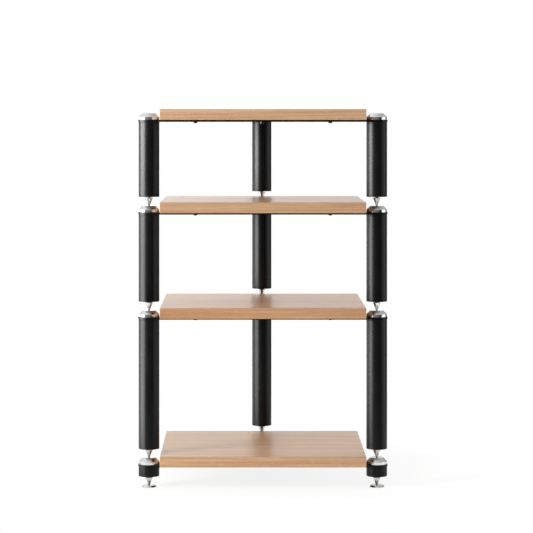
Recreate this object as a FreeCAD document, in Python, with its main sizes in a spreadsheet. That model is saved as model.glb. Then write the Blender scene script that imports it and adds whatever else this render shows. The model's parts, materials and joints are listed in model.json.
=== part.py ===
"""A four-shelf hi-fi bench on three columns, built as stacking modules.

Each module is a shelf screwed down on a T-shaped steel subframe. Its three eyes are clamped between the
columns and chromed cap nuts. Every column stands on a threaded spike that rests in the cup of the cap below,
and the lowest module stands on short collars, foot spikes and floor shoes.

Millimetres. +X is to the right, +Y to the back, +Z up. The origin is on the floor, in the middle of the
bench's overall width and depth.
"""

import FreeCAD, Part
import os
import Sketcher

SIZES = {
    # shelf boards
    "shelf_width": 500.0,
    "shelf_depth": 400.0,
    "shelf_thickness": 26.0,
    "shelf_edge_chamfer": 0.8,
    # steel subframe under each shelf
    "subframe_thickness": 5.0,
    "subframe_bar_width": 52.0,
    "subframe_eye_diameter": 53.0,
    "subframe_corner_radius": 30.0,
    # where the columns stand
    "column_side_gap": 3.5,
    "front_column_setback": 56.0,
    # column tubes, each length over both end plugs
    "tube_diameter": 50.8,
    "tube_wall": 2.0,
    "upper_column_length": 183.0,
    "middle_column_length": 213.0,
    "lower_column_length": 317.0,
    # end plugs welded into the tubes
    "plug_flange_thickness": 3.0,
    "plug_spigot_length": 15.0,
    "plug_clearance": 0.1,
    "plug_edge_chamfer": 0.5,
    # cap nuts and the cup that the spike above stands in
    "cap_diameter": 50.0,
    "cap_height": 16.0,
    "cap_chamfer": 9.0,
    "cap_base_chamfer": 0.5,
    "cup_depth": 3.0,
    "cap_web_thickness": 4.0,
    "cup_mouth_diameter": 8.0,
    "cup_floor_diameter": 3.0,
    # column thread, for the studs and the spikes
    "thread_diameter": 8.0,
    "thread_clearance": 0.05,
    "stud_column_depth": 7.5,
    "stud_eye_clearance": 0.5,
    # spikes
    "spike_tip_diameter": 1.2,
    "spike_cone_diameter": 19.0,
    "spike_cone_length": 21.5,
    "spike_shoulder_height": 1.6,
    "spike_shoulder_diameter": 14.0,
    "spike_plug_spare": 2.0,
    "spike_stud_gap": 0.5,
    "spike_shank_chamfer": 0.8,
    "stack_spike_exposure": 1.6,
    "foot_spike_exposure": 2.3,
    # foot collars and floor shoes
    "collar_height": 24.0,
    "collar_edge_chamfer": 0.8,
    "shoe_diameter": 37.0,
    "shoe_top_diameter": 31.0,
    "shoe_height": 4.5,
    "shoe_rim_height": 0.6,
    "shoe_seat_thickness": 1.6,
    "shoe_cup_mouth_diameter": 9.0,
    # screws that hold the shelf down on its subframe, and the inserts that they turn into
    "screw_front_spacing": 330.0,
    "screw_rear_setback": 60.0,
    "screw_thread_diameter": 6.0,
    "screw_end_gap": 2.0,
    "screw_hole_clearance": 0.3,
    "front_head_diameter": 10.5,
    "front_head_height": 3.3,
    "front_head_rim": 1.0,
    "front_head_flat_diameter": 6.5,
    "front_socket_flats": 4.0,
    "front_socket_depth": 2.0,
    "rear_head_diameter": 10.0,
    "rear_head_height": 6.0,
    "rear_head_chamfer": 0.8,
    "rear_socket_flats": 5.0,
    "rear_socket_depth": 3.0,
    "insert_diameter": 9.0,
    "insert_length": 13.0,
    "insert_clearance": 0.05,
    "insert_thread_clearance": 0.1,
    "insert_hole_spare_depth": 1.0,
}

SHEET = "sizes"
ROOT_THREE = 3 ** 0.5
FULL_TURN = 360

# how far the middle of an edge may lie from where it is looked for
EDGE_TOLERANCE = 0.01

# a sketch counts its axes down from -1, and the points of a line or circle up from 1
X_AXIS, Y_AXIS = range(-1, -3, -1)
START_POINT, END_POINT, CENTRE_POINT = range(1, 4)


class Formula:
    """A number together with the spreadsheet formula that gives it."""

    def __init__(self, text, number):
        self.text = text
        self.number = number

    @staticmethod
    def of(value):
        return value if isinstance(value, Formula) else Formula(repr(value), float(value))

    def join(self, sign, other, number):
        return Formula(f"({self.text} {sign} {Formula.of(other).text})", number)

    def __add__(self, other):
        return self.join("+", other, self.number + Formula.of(other).number)

    def __sub__(self, other):
        return self.join("-", other, self.number - Formula.of(other).number)

    def __mul__(self, other):
        return self.join("*", other, self.number * Formula.of(other).number)

    def __truediv__(self, other):
        return self.join("/", other, self.number / Formula.of(other).number)

    def __neg__(self):
        return Formula(f"(0 - {self.text})", -self.number)


def size(alias):
    return Formula(f"{SHEET}.{alias}", SIZES[alias])


ZERO = Formula("0", 0.0)

# radii and widths that several pieces share
CAP_RADIUS = size("cap_diameter") / 2
TUBE_RADIUS = size("tube_diameter") / 2
TUBE_BORE_RADIUS = TUBE_RADIUS - size("tube_wall")
THREAD_RADIUS = size("thread_diameter") / 2
THREAD_HOLE_RADIUS = THREAD_RADIUS + size("thread_clearance")
SCREW_RADIUS = size("screw_thread_diameter") / 2
INSERT_RADIUS = size("insert_diameter") / 2

# threaded lengths, each from the pieces that it has to fit in
PLUG_LENGTH = size("plug_flange_thickness") + size("plug_spigot_length")
STUD_CAP_DEPTH = size("cap_height") - size("cup_depth") - size("cap_web_thickness")
STUD_LENGTH = size("stud_column_depth") + size("subframe_thickness") + STUD_CAP_DEPTH
STACK_SHANK_LENGTH = PLUG_LENGTH - size("spike_plug_spare")
FOOT_SHANK_LENGTH = size("collar_height") - size("stud_column_depth") - size("spike_stud_gap")
SCREW_LENGTH = size("subframe_thickness") + size("insert_length") - size("screw_end_gap")

# the plan: the shelves' front edge, the columns' axes and the screws
OVERALL_DEPTH = (
    size("shelf_depth") + size("column_side_gap") + CAP_RADIUS + size("subframe_eye_diameter") / 2
)
SHELF_FRONT = -(OVERALL_DEPTH / 2)
COLUMN_X = size("shelf_width") / 2 + size("column_side_gap") + CAP_RADIUS
FRONT_COLUMN_Y = SHELF_FRONT + size("front_column_setback")
REAR_COLUMN_Y = SHELF_FRONT + size("shelf_depth") + size("column_side_gap") + CAP_RADIUS
COLUMNS = {
    "left": (-COLUMN_X, FRONT_COLUMN_Y),
    "right": (COLUMN_X, FRONT_COLUMN_Y),
    "rear": (ZERO, REAR_COLUMN_Y),
}
SCREW_X = size("screw_front_spacing") / 2
REAR_SCREW_Y = SHELF_FRONT + size("shelf_depth") - size("screw_rear_setback")
SCREWS = {
    "left": (-SCREW_X, FRONT_COLUMN_Y),
    "right": (SCREW_X, FRONT_COLUMN_Y),
    "rear": (ZERO, REAR_SCREW_Y),
}

# the heights, from the floor up
SPIKE_HEAD_LENGTH = size("spike_cone_length") + size("spike_shoulder_height")
FOOT_TIP_Z = size("shoe_seat_thickness")
COLLAR_Z = FOOT_TIP_Z + SPIKE_HEAD_LENGTH + size("foot_spike_exposure")
BASE_SUBFRAME_Z = COLLAR_Z + size("collar_height")


def stack_tip_z(subframe_below_z):
    """The height of a spike's tip in the cup of the cap on the subframe below."""
    return subframe_below_z + size("subframe_thickness") + size("cap_height") - size("cup_depth")


def column_z(subframe_below_z):
    return stack_tip_z(subframe_below_z) + SPIKE_HEAD_LENGTH + size("stack_spike_exposure")


LOWER_COLUMN_Z = column_z(BASE_SUBFRAME_Z)
LOWER_SUBFRAME_Z = LOWER_COLUMN_Z + size("lower_column_length")
MIDDLE_COLUMN_Z = column_z(LOWER_SUBFRAME_Z)
MIDDLE_SUBFRAME_Z = MIDDLE_COLUMN_Z + size("middle_column_length")
UPPER_COLUMN_Z = column_z(MIDDLE_SUBFRAME_Z)
UPPER_SUBFRAME_Z = UPPER_COLUMN_Z + size("upper_column_length")


def make_sheet(doc):
    sheet = doc.addObject("Spreadsheet::Sheet", SHEET)
    for row, (alias, number) in enumerate(SIZES.items(), start=1):
        sheet.set(f"A{row}", str(number))
        sheet.setAlias(f"A{row}", alias)
    doc.recompute()


def new_body(doc, name, x=ZERO, y=ZERO, z=ZERO):
    """An empty body whose placement follows the sheet."""
    body = doc.addObject("PartDesign::Body", name)
    body.Label = name
    for axis, place in (("x", x), ("y", y), ("z", z)):
        body.setExpression(f"Placement.Base.{axis}", place.text)
    return body


def new_sketch(body, role, name):
    """A sketch on one of the body's own origin planes."""
    sketch = body.newObject("Sketcher::SketchObject", name)
    plane = next(feature for feature in body.Origin.OriginFeatures if feature.Role == role)
    sketch.AttachmentSupport = [(plane, "")]
    sketch.MapMode = "FlatFace"
    return sketch


def hold(sketch, constraint, formula):
    """Adds a constraint with a length and binds that length to the sheet."""
    index = sketch.addConstraint(constraint)
    sketch.setExpression(f"Constraints[{index}]", formula.text)


def pin_point(sketch, geometry, point, x, y):
    """Holds a point of the sketch at x and y from the sketch's origin."""
    origin = (X_AXIS, START_POINT)
    for kind, axis, place in (("DistanceX", Y_AXIS, x), ("DistanceY", X_AXIS, y)):
        if place is ZERO:
            sketch.addConstraint(Sketcher.Constraint("PointOnObject", geometry, point, axis))
        elif place.number > 0:
            hold(sketch, Sketcher.Constraint(kind, *origin, geometry, point, place.number), place)
        else:
            hold(sketch, Sketcher.Constraint(kind, geometry, point, *origin, -place.number), -place)


def draw_polygon(sketch, points):
    """A closed outline of straight lines with every corner held."""
    corners = [FreeCAD.Vector(x.number, y.number, 0) for x, y in points]
    count = len(corners)
    for i in range(count):
        sketch.addGeometry(Part.LineSegment(corners[i], corners[(i + 1) % count]), False)
    for i in range(count):
        following = (i + 1) % count
        sketch.addConstraint(Sketcher.Constraint("Coincident", i, END_POINT, following, START_POINT))
    for i, (x, y) in enumerate(points):
        pin_point(sketch, i, START_POINT, x, y)


def draw_circle(sketch, x, y, radius):
    centre = FreeCAD.Vector(x.number, y.number, 0)
    circle = Part.Circle(centre, FreeCAD.Vector(0, 0, 1), radius.number)
    index = sketch.addGeometry(circle, False)
    pin_point(sketch, index, CENTRE_POINT, x, y)
    hold(sketch, Sketcher.Constraint("Radius", index, radius.number), radius)


def turn(body, profile):
    """A turned piece: the profile, given as radius and height, revolved about the body's Z axis."""
    sketch = new_sketch(body, "XZ_Plane", f"{body.Name}_profile")
    draw_polygon(sketch, profile)
    turned = body.newObject("PartDesign::Revolution", f"{body.Name}_turned")
    turned.Profile = sketch
    turned.ReferenceAxis = (sketch, ["V_Axis"])
    turned.Angle = FULL_TURN
    sketch.Visibility = False


def pad(body, sketch, thickness):
    padded = body.newObject("PartDesign::Pad", f"{sketch.Name}_pad")
    padded.Profile = sketch
    padded.setExpression("Length", thickness.text)
    return padded


def pocket_up(body, sketch, depth):
    """Cuts upwards from the body's own XY plane."""
    cut = body.newObject("PartDesign::Pocket", f"{sketch.Name}_pocket")
    cut.Profile = sketch
    cut.setExpression("Length", depth.text)
    cut.Reversed = True
    return cut


def rectangle(left, right, front, back):
    return [(left, front), (right, front), (right, back), (left, back)]


def shelf(doc, name, z):
    """A veneered board with eased edges and three blind holes underneath for the threaded inserts."""
    body = new_body(doc, name, y=SHELF_FRONT, z=z)
    half_width = size("shelf_width") / 2
    board = new_sketch(body, "XY_Plane", f"{name}_board")
    draw_polygon(board, rectangle(-half_width, half_width, ZERO, size("shelf_depth")))
    board_pad = pad(body, board, size("shelf_thickness"))
    eased = body.newObject("PartDesign::Chamfer", f"{name}_eased")
    eased.Base = (board_pad, [f"Face{number}" for number in range(1, 7)])
    eased.setExpression("Size", size("shelf_edge_chamfer").text)
    holes = new_sketch(body, "XY_Plane", f"{name}_holes")
    for x, y in SCREWS.values():
        draw_circle(holes, x, y - SHELF_FRONT, INSERT_RADIUS + size("insert_clearance"))
    pocket_up(body, holes, size("insert_length") + size("insert_hole_spare_depth"))
    return body


def junction_edges(shape, corner_x, corner_y):
    """The names of the upright edges where the spine of the T meets its crossbar."""
    names = []
    for number, edge in enumerate(shape.Edges, start=1):
        box = edge.BoundBox
        upright = box.ZLength > box.XLength + box.YLength
        off_x = abs(abs(box.Center.x) - corner_x)
        off_y = abs(box.Center.y - corner_y)
        if upright and off_x < EDGE_TOLERANCE and off_y < EDGE_TOLERANCE:
            names.append(f"Edge{number}")
    return names


def subframe(doc, name, z):
    """A T cut from steel plate: a crossbar between the front columns and a spine to the rear one."""
    body = new_body(doc, name, y=FRONT_COLUMN_Y, z=z)
    thickness = size("subframe_thickness")
    half_bar = size("subframe_bar_width") / 2
    crossbar = new_sketch(body, "XY_Plane", f"{name}_crossbar")
    draw_polygon(crossbar, rectangle(-COLUMN_X, COLUMN_X, -half_bar, half_bar))
    pad(body, crossbar, thickness)
    spine = new_sketch(body, "XY_Plane", f"{name}_spine")
    draw_polygon(spine, rectangle(-half_bar, half_bar, ZERO, REAR_COLUMN_Y - FRONT_COLUMN_Y))
    spine_pad = pad(body, spine, thickness)
    doc.recompute()
    corners = body.newObject("PartDesign::Fillet", f"{name}_corners")
    names = junction_edges(spine_pad.Shape, half_bar.number, half_bar.number)
    corners.Base = (spine_pad, names)
    corners.setExpression("Radius", size("subframe_corner_radius").text)
    eyes = new_sketch(body, "XY_Plane", f"{name}_eyes")
    holes = new_sketch(body, "XY_Plane", f"{name}_holes")
    for place, (x, y) in COLUMNS.items():
        eye_y = REAR_COLUMN_Y - FRONT_COLUMN_Y if place == "rear" else ZERO
        draw_circle(eyes, x, eye_y, size("subframe_eye_diameter") / 2)
        draw_circle(holes, x, eye_y, THREAD_RADIUS + size("stud_eye_clearance"))
    for place, (x, y) in SCREWS.items():
        screw_y = REAR_SCREW_Y - FRONT_COLUMN_Y if place == "rear" else ZERO
        draw_circle(holes, x, screw_y, SCREW_RADIUS + size("screw_hole_clearance"))
    pad(body, eyes, thickness)
    pocket_up(body, holes, thickness)
    return body


def tube(doc, name, place, z, length):
    x, y = COLUMNS[place]
    flange = size("plug_flange_thickness")
    body = new_body(doc, name, x, y, z + flange)
    top = length - flange * 2
    turn(body, rectangle(TUBE_BORE_RADIUS, TUBE_RADIUS, ZERO, top))
    return body


def bottom_plug(doc, name, place, z):
    """An end plug: a flange as wide as the tube, a spigot inside the tube and a tapped hole right through."""
    x, y = COLUMNS[place]
    flange = size("plug_flange_thickness")
    spigot_radius = TUBE_BORE_RADIUS - size("plug_clearance")
    chamfer = size("plug_edge_chamfer")
    body = new_body(doc, name, x, y, z)
    turn(
        body,
        [
            (THREAD_HOLE_RADIUS, ZERO),
            (TUBE_RADIUS - chamfer, ZERO),
            (TUBE_RADIUS, chamfer),
            (TUBE_RADIUS, flange),
            (spigot_radius, flange),
            (spigot_radius, PLUG_LENGTH),
            (THREAD_HOLE_RADIUS, PLUG_LENGTH),
        ],
    )
    return body


def top_plug(doc, name, place, top_z):
    """The same plug as at the bottom of the tube, with its flange uppermost."""
    x, y = COLUMNS[place]
    spigot = size("plug_spigot_length")
    spigot_radius = TUBE_BORE_RADIUS - size("plug_clearance")
    chamfer = size("plug_edge_chamfer")
    body = new_body(doc, name, x, y, top_z - PLUG_LENGTH)
    turn(
        body,
        [
            (THREAD_HOLE_RADIUS, ZERO),
            (spigot_radius, ZERO),
            (spigot_radius, spigot),
            (TUBE_RADIUS, spigot),
            (TUBE_RADIUS, PLUG_LENGTH - chamfer),
            (TUBE_RADIUS - chamfer, PLUG_LENGTH),
            (THREAD_HOLE_RADIUS, PLUG_LENGTH),
        ],
    )
    return body


def cap(doc, name, place, z):
    """A domed cap nut: a plain band, a wide chamfer, and the cup for the spike above."""
    x, y = COLUMNS[place]
    height = size("cap_height")
    chamfer = size("cap_chamfer")
    base_chamfer = size("cap_base_chamfer")
    body = new_body(doc, name, x, y, z)
    turn(
        body,
        [
            (THREAD_HOLE_RADIUS, ZERO),
            (CAP_RADIUS - base_chamfer, ZERO),
            (CAP_RADIUS, base_chamfer),
            (CAP_RADIUS, height - chamfer),
            (CAP_RADIUS - chamfer, height),
            (size("cup_mouth_diameter") / 2, height),
            (size("cup_floor_diameter") / 2, height - size("cup_depth")),
            (ZERO, height - size("cup_depth")),
            (ZERO, STUD_CAP_DEPTH),
            (THREAD_HOLE_RADIUS, STUD_CAP_DEPTH),
        ],
    )
    return body


def stud(doc, name, place, subframe_z):
    """A headless stud from the column, through the subframe's eye, into the cap."""
    x, y = COLUMNS[place]
    body = new_body(doc, name, x, y, subframe_z - size("stud_column_depth"))
    turn(body, rectangle(ZERO, THREAD_RADIUS, ZERO, STUD_LENGTH))
    return body


def spike(doc, name, place, tip_z, shank_length):
    """A turned spike: cone, bevelled shoulder and threaded shank, with its origin at the tip."""
    x, y = COLUMNS[place]
    cone_radius = size("spike_cone_diameter") / 2
    chamfer = size("spike_shank_chamfer")
    whole = SPIKE_HEAD_LENGTH + shank_length
    body = new_body(doc, name, x, y, tip_z)
    turn(
        body,
        [
            (ZERO, ZERO),
            (size("spike_tip_diameter") / 2, ZERO),
            (cone_radius, size("spike_cone_length")),
            (size("spike_shoulder_diameter") / 2, SPIKE_HEAD_LENGTH),
            (THREAD_RADIUS, SPIKE_HEAD_LENGTH),
            (THREAD_RADIUS, whole - chamfer),
            (THREAD_RADIUS - chamfer, whole),
            (ZERO, whole),
        ],
    )
    return body


def collar(doc, name, place):
    """The short foot under each eye of the lowest subframe, tapped right through."""
    x, y = COLUMNS[place]
    height = size("collar_height")
    chamfer = size("collar_edge_chamfer")
    body = new_body(doc, name, x, y, COLLAR_Z)
    turn(
        body,
        [
            (THREAD_HOLE_RADIUS, ZERO),
            (TUBE_RADIUS - chamfer, ZERO),
            (TUBE_RADIUS, chamfer),
            (TUBE_RADIUS, height - chamfer),
            (TUBE_RADIUS - chamfer, height),
            (THREAD_HOLE_RADIUS, height),
        ],
    )
    return body


def shoe(doc, name, place):
    """A floor shoe: a low disc with a sloping rim and a cup that the foot spike stands in."""
    x, y = COLUMNS[place]
    height = size("shoe_height")
    seat = size("shoe_seat_thickness")
    body = new_body(doc, name, x, y)
    turn(
        body,
        [
            (ZERO, ZERO),
            (size("shoe_diameter") / 2, ZERO),
            (size("shoe_diameter") / 2, size("shoe_rim_height")),
            (size("shoe_top_diameter") / 2, height),
            (size("shoe_cup_mouth_diameter") / 2, height),
            (size("cup_floor_diameter") / 2, seat),
            (ZERO, seat),
        ],
    )
    return body


def cut_socket(body, flats, depth):
    """A hexagon socket in the underside of a screw's head."""
    half_flat = flats / 2
    corner = flats / ROOT_THREE
    socket = new_sketch(body, "XY_Plane", f"{body.Name}_socket")
    draw_polygon(
        socket,
        [
            (half_flat, corner / 2),
            (ZERO, corner),
            (-half_flat, corner / 2),
            (-half_flat, -(corner / 2)),
            (ZERO, -corner),
            (half_flat, -(corner / 2)),
        ],
    )
    pocket_up(body, socket, depth)


def front_screw(doc, name, place, subframe_z):
    """A button-head screw with a hexagon socket, driven up from below."""
    x, y = SCREWS[place]
    head = size("front_head_height")
    body = new_body(doc, name, x, y, subframe_z - head)
    turn(
        body,
        [
            (ZERO, ZERO),
            (size("front_head_flat_diameter") / 2, ZERO),
            (size("front_head_diameter") / 2, head - size("front_head_rim")),
            (size("front_head_diameter") / 2, head),
            (SCREW_RADIUS, head),
            (SCREW_RADIUS, head + SCREW_LENGTH),
            (ZERO, head + SCREW_LENGTH),
        ],
    )
    cut_socket(body, size("front_socket_flats"), size("front_socket_depth"))
    return body


def rear_screw(doc, name, subframe_z):
    """A taller cap screw with a hexagon socket, at the back of the spine."""
    x, y = SCREWS["rear"]
    head = size("rear_head_height")
    head_radius = size("rear_head_diameter") / 2
    chamfer = size("rear_head_chamfer")
    body = new_body(doc, name, x, y, subframe_z - head)
    turn(
        body,
        [
            (ZERO, ZERO),
            (head_radius - chamfer, ZERO),
            (head_radius, chamfer),
            (head_radius, head),
            (SCREW_RADIUS, head),
            (SCREW_RADIUS, head + SCREW_LENGTH),
            (ZERO, head + SCREW_LENGTH),
        ],
    )
    cut_socket(body, size("rear_socket_flats"), size("rear_socket_depth"))
    return body


def insert(doc, name, place, shelf_z):
    """A threaded insert, flush with the underside of the shelf."""
    x, y = SCREWS[place]
    body = new_body(doc, name, x, y, shelf_z)
    bore = SCREW_RADIUS + size("insert_thread_clearance")
    turn(body, rectangle(bore, INSERT_RADIUS, ZERO, size("insert_length")))
    return body


def group(doc, name, members):
    """Identical small pieces that share one node, each still a solid of its own."""
    compound = doc.addObject("Part::Compound", name)
    compound.Label = name
    compound.Links = members
    return compound


def deck(doc, module, subframe_z):
    """What every module has: shelf, subframe, screws, inserts, caps and studs."""
    shelf_z = subframe_z + size("subframe_thickness")
    front_screws = [
        front_screw(doc, f"{module}_{place}_front_screw", place, subframe_z) for place in ("left", "right")
    ]
    inserts = [insert(doc, f"{module}_insert_{place}", place, shelf_z) for place in SCREWS]
    caps = [cap(doc, f"{module}_cap_{place}", place, shelf_z) for place in COLUMNS]
    studs = [stud(doc, f"{module}_stud_{place}", place, subframe_z) for place in COLUMNS]
    return [
        shelf(doc, f"{module}_shelf", shelf_z),
        subframe(doc, f"{module}_subframe", subframe_z),
        group(doc, f"{module}_front_screws", front_screws),
        rear_screw(doc, f"{module}_rear_screw", subframe_z),
        group(doc, f"{module}_shelf_inserts", inserts),
        group(doc, f"{module}_cap_nuts", caps),
        group(doc, f"{module}_column_studs", studs),
    ]


def columns(doc, module, z, length, subframe_below_z):
    """Three columns, each a tube with two end plugs and a spike that stands on the module below."""
    top_z = z + length
    plugs = [bottom_plug(doc, f"{module}_bottom_plug_{place}", place, z) for place in COLUMNS]
    plugs += [top_plug(doc, f"{module}_top_plug_{place}", place, top_z) for place in COLUMNS]
    tip_z = stack_tip_z(subframe_below_z)
    pieces = [group(doc, f"{module}_end_plugs", plugs)]
    for place in COLUMNS:
        pieces.append(tube(doc, f"{module}_{place}_tube", place, z, length))
        pieces.append(spike(doc, f"{module}_{place}_spike", place, tip_z, STACK_SHANK_LENGTH))
    return pieces


def feet(doc):
    pieces = []
    for place in COLUMNS:
        pieces.append(collar(doc, f"{place}_foot_collar", place))
        pieces.append(spike(doc, f"{place}_foot_spike", place, FOOT_TIP_Z, FOOT_SHANK_LENGTH))
        pieces.append(shoe(doc, f"{place}_floor_shoe", place))
    return pieces


def build(doc):
    pieces = deck(doc, "base", BASE_SUBFRAME_Z)
    pieces += feet(doc)
    pieces += deck(doc, "lower", LOWER_SUBFRAME_Z)
    pieces += columns(doc, "lower", LOWER_COLUMN_Z, size("lower_column_length"), BASE_SUBFRAME_Z)
    pieces += deck(doc, "middle", MIDDLE_SUBFRAME_Z)
    pieces += columns(doc, "middle", MIDDLE_COLUMN_Z, size("middle_column_length"), LOWER_SUBFRAME_Z)
    pieces += deck(doc, "upper", UPPER_SUBFRAME_Z)
    pieces += columns(doc, "upper", UPPER_COLUMN_Z, size("upper_column_length"), MIDDLE_SUBFRAME_Z)
    return pieces


def check(doc, pieces):
    """Stops if any object failed, any pocket cut nothing or any piece isn't sound closed solids."""
    for item in doc.Objects:
        if "Invalid" in item.State or "Error" in item.State:
            raise RuntimeError(f"{item.Label} failed: {item.State}")
        if item.TypeId == "PartDesign::Pocket" and item.Shape.Volume >= item.BaseFeature.Shape.Volume:
            raise RuntimeError(f"{item.Label} cuts nothing")
    for piece in pieces:
        if piece.Shape.isNull() or not piece.Shape.isValid() or not piece.Shape.Solids:
            raise RuntimeError(f"{piece.Label} has no valid shape")


def main():
    doc = FreeCAD.newDocument("hifi_bench")
    make_sheet(doc)
    pieces = build(doc)
    doc.recompute()
    check(doc, pieces)
    os.makedirs("parts", exist_ok=True)
    for piece in pieces:
        piece.Shape.exportStep(f"parts/{piece.Label}.step")
        print(f"{piece.Label:24s} {len(piece.Shape.Solids)} solid(s) {piece.Shape.Volume:12.1f} mm3")


main()
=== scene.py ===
import json
import math

import bmesh
import bpy
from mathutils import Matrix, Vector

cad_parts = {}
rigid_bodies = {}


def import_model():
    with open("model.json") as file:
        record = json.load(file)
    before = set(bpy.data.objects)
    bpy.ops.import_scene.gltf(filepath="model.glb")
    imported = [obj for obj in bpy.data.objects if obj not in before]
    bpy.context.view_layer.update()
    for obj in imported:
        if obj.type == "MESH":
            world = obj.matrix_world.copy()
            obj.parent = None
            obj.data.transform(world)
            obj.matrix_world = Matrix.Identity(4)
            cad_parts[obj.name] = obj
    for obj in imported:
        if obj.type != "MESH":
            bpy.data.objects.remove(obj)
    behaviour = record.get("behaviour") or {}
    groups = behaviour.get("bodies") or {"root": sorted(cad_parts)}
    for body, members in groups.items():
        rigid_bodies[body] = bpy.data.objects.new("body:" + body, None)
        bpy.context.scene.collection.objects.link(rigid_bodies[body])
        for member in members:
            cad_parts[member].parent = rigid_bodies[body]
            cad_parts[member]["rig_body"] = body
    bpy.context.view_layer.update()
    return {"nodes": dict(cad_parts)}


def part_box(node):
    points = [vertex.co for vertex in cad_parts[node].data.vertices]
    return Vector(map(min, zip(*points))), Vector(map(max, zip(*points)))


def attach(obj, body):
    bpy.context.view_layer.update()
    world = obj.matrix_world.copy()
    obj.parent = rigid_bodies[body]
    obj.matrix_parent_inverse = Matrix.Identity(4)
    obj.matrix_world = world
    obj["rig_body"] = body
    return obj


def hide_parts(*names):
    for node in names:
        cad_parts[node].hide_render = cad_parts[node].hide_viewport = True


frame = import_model()

MM = 0.001
TURN = 2 * math.pi

# the columns' axes, in metres
AXES = {"left": (-0.2785, -0.1715), "right": (0.2785, -0.1715), "rear": (0.0, 0.201)}
MODULES = ("base", "lower", "middle", "upper")
STACKED = MODULES[1:]

# turned pieces: how many flats make a round, and the angles in degrees above which an edge stays sharp
TUBE_FLATS = 96
CAP_FLATS = 72
SMALL_FLATS = 36
SHARP_EDGE = 35
SHARP_THREAD_EDGE = 50

# fillets: the most of a side that one takes up, the turn of one step, and how far past its ends, as a share
# of its reach, one more row stands, which keeps the side beside it flat
FILLET_SHARE = 0.45
FILLET_STEP = math.radians(22)
FILLET_HOLD = 0.35

# column tubes and the plugs in their ends
TUBE_RADIUS = 25.4 * MM
TUBE_BORE = 23.4 * MM
TUBE_BORE_ROUND = 0.2 * MM
EDGE_ROUND = 0.6 * MM
SPIGOT_RADIUS = 23.3 * MM
SPIGOT_ROUND = 0.5 * MM
PLUG_FLANGE = 3 * MM
PLUG_LENGTH = 18 * MM
THREAD_HOLE = 4.05 * MM
HOLE_ROUND = 0.3 * MM

# cap nuts
CAP_RADIUS = 25 * MM
CAP_HEIGHT = 16 * MM
CAP_CHAMFER = 9 * MM
CAP_BORE_DEPTH = 9 * MM
CAP_FOOT_ROUND = 0.5 * MM
CHAMFER_ROUND = 0.7 * MM
CUP_MOUTH = 4 * MM
CUP_MOUTH_ROUND = 0.35 * MM
CUP_FLOOR = 1.5 * MM
CUP_FLOOR_ROUND = 0.3 * MM
CUP_DEPTH = 3 * MM

# spikes; the thread's triangle is this much taller than the thread, and its crests are cut flat
TIP_RADIUS = 0.6 * MM
TIP_ROUND = 0.25 * MM
CONE_RADIUS = 9.5 * MM
CONE_LENGTH = 21.5 * MM
CONE_ROUND = 0.5 * MM
SHOULDER_RADIUS = 7 * MM
SHOULDER_ROUND = 0.4 * MM
HEAD_LENGTH = 23.1 * MM
THREAD_RADIUS = 4 * MM
THREAD_ROOT = 3.35 * MM
THREAD_PITCH = 1.25 * MM
THREAD_ROWS = 6
THREAD_START_ROWS = 2
THREAD_TRIANGLE = 1.25

# foot collars and floor shoes
COLLAR_ROUND = 0.9 * MM
SHOE_RADIUS = 18.5 * MM
SHOE_TOP = 15.5 * MM
SHOE_HEIGHT = 4.5 * MM
SHOE_RIM = 0.6 * MM
SHOE_SEAT = 1.6 * MM
SHOE_MOUTH = 4.5 * MM
SHOE_FOOT_ROUND = 0.3 * MM
SHOE_RIM_ROUND = 0.35 * MM
SHOE_TOP_ROUND = 0.5 * MM
SHOE_MOUTH_ROUND = 0.4 * MM

# M6 screws; a head's crown falls away to its rim, and flats is the width of its socket over the flats. The
# crown starts outside the socket's corners, at a share of that width
SHANK_RADIUS = 3 * MM
SHANK_END_RADIUS = 2.4 * MM
SHANK_TAPER = 0.6 * MM
HEAD_ROUND = 0.2 * MM
SOCKET_RIM = 0.62
SOCKET_EDGE = 0.25 * MM
BUTTON_HEAD = {
    "radius": 5.25 * MM, "height": 3.3 * MM,
    "crown_radius": 3.25 * MM, "crown_round": 1.2 * MM, "crown_fall": 2.3 * MM, "rim_round": 0.5 * MM,
    "flats": 4 * MM, "socket_depth": 2 * MM,
}
SOCKET_HEAD = {
    "radius": 5 * MM, "height": 6 * MM,
    "crown_radius": 4.2 * MM, "crown_round": 0.2 * MM, "crown_fall": 0.8 * MM, "rim_round": 0.2 * MM,
    "flats": 5 * MM, "socket_depth": 3 * MM,
}

# oak veneer, from its darkest grain to its palest, and the colours of its details
TAN_OAK = [(0.30, (0.470, 0.262, 0.116)), (0.52, (0.590, 0.356, 0.176)), (0.72, (0.690, 0.448, 0.250))]
PINK_OAK = [(0.30, (0.460, 0.234, 0.108)), (0.52, (0.585, 0.326, 0.164)), (0.72, (0.685, 0.420, 0.236))]
FLECK_COLOUR = (0.74, 0.52, 0.35, 1.0)
PORE_COLOUR = (0.24, 0.115, 0.055, 1.0)
# painted light on the arrises: a dark line that stands in for a reflection on the upper ones, and a pale
# painted highlight on the lower ones
PAINTED_DARK_REFLECTION = (0.36, 0.19, 0.085, 1.0)
PAINTED_ARRIS_HIGHLIGHT = (0.86, 0.66, 0.48, 1.0)

# each shelf's sheet of veneer: where it is cut from, its heart line (place across the grain, slope along it,
# depth), its tint, and the haze of its lacquer. Edges and ends are cut from strips further off
SHEETS = {
    "base": ((0.0, 0.0, 0.0), (-0.07, 0.10, 0.045), (0.94, 0.94, 0.92), 0.36),
    "lower": ((3.1, 1.7, 0.4), (1.74, -0.09, 0.31), (0.93, 0.865, 0.825), 0.335),
    "middle": ((7.9, 4.3, 0.9), (4.22, 0.07, -0.53), (0.96, 0.94, 0.995), 0.315),
    "upper": ((5.3, 8.1, 0.2), (8.17, -0.08, 0.46), (1.035, 1.09, 1.165), 0.335),
}
EDGE_STRIP = 0.31
END_STRIP = 0.7

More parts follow.
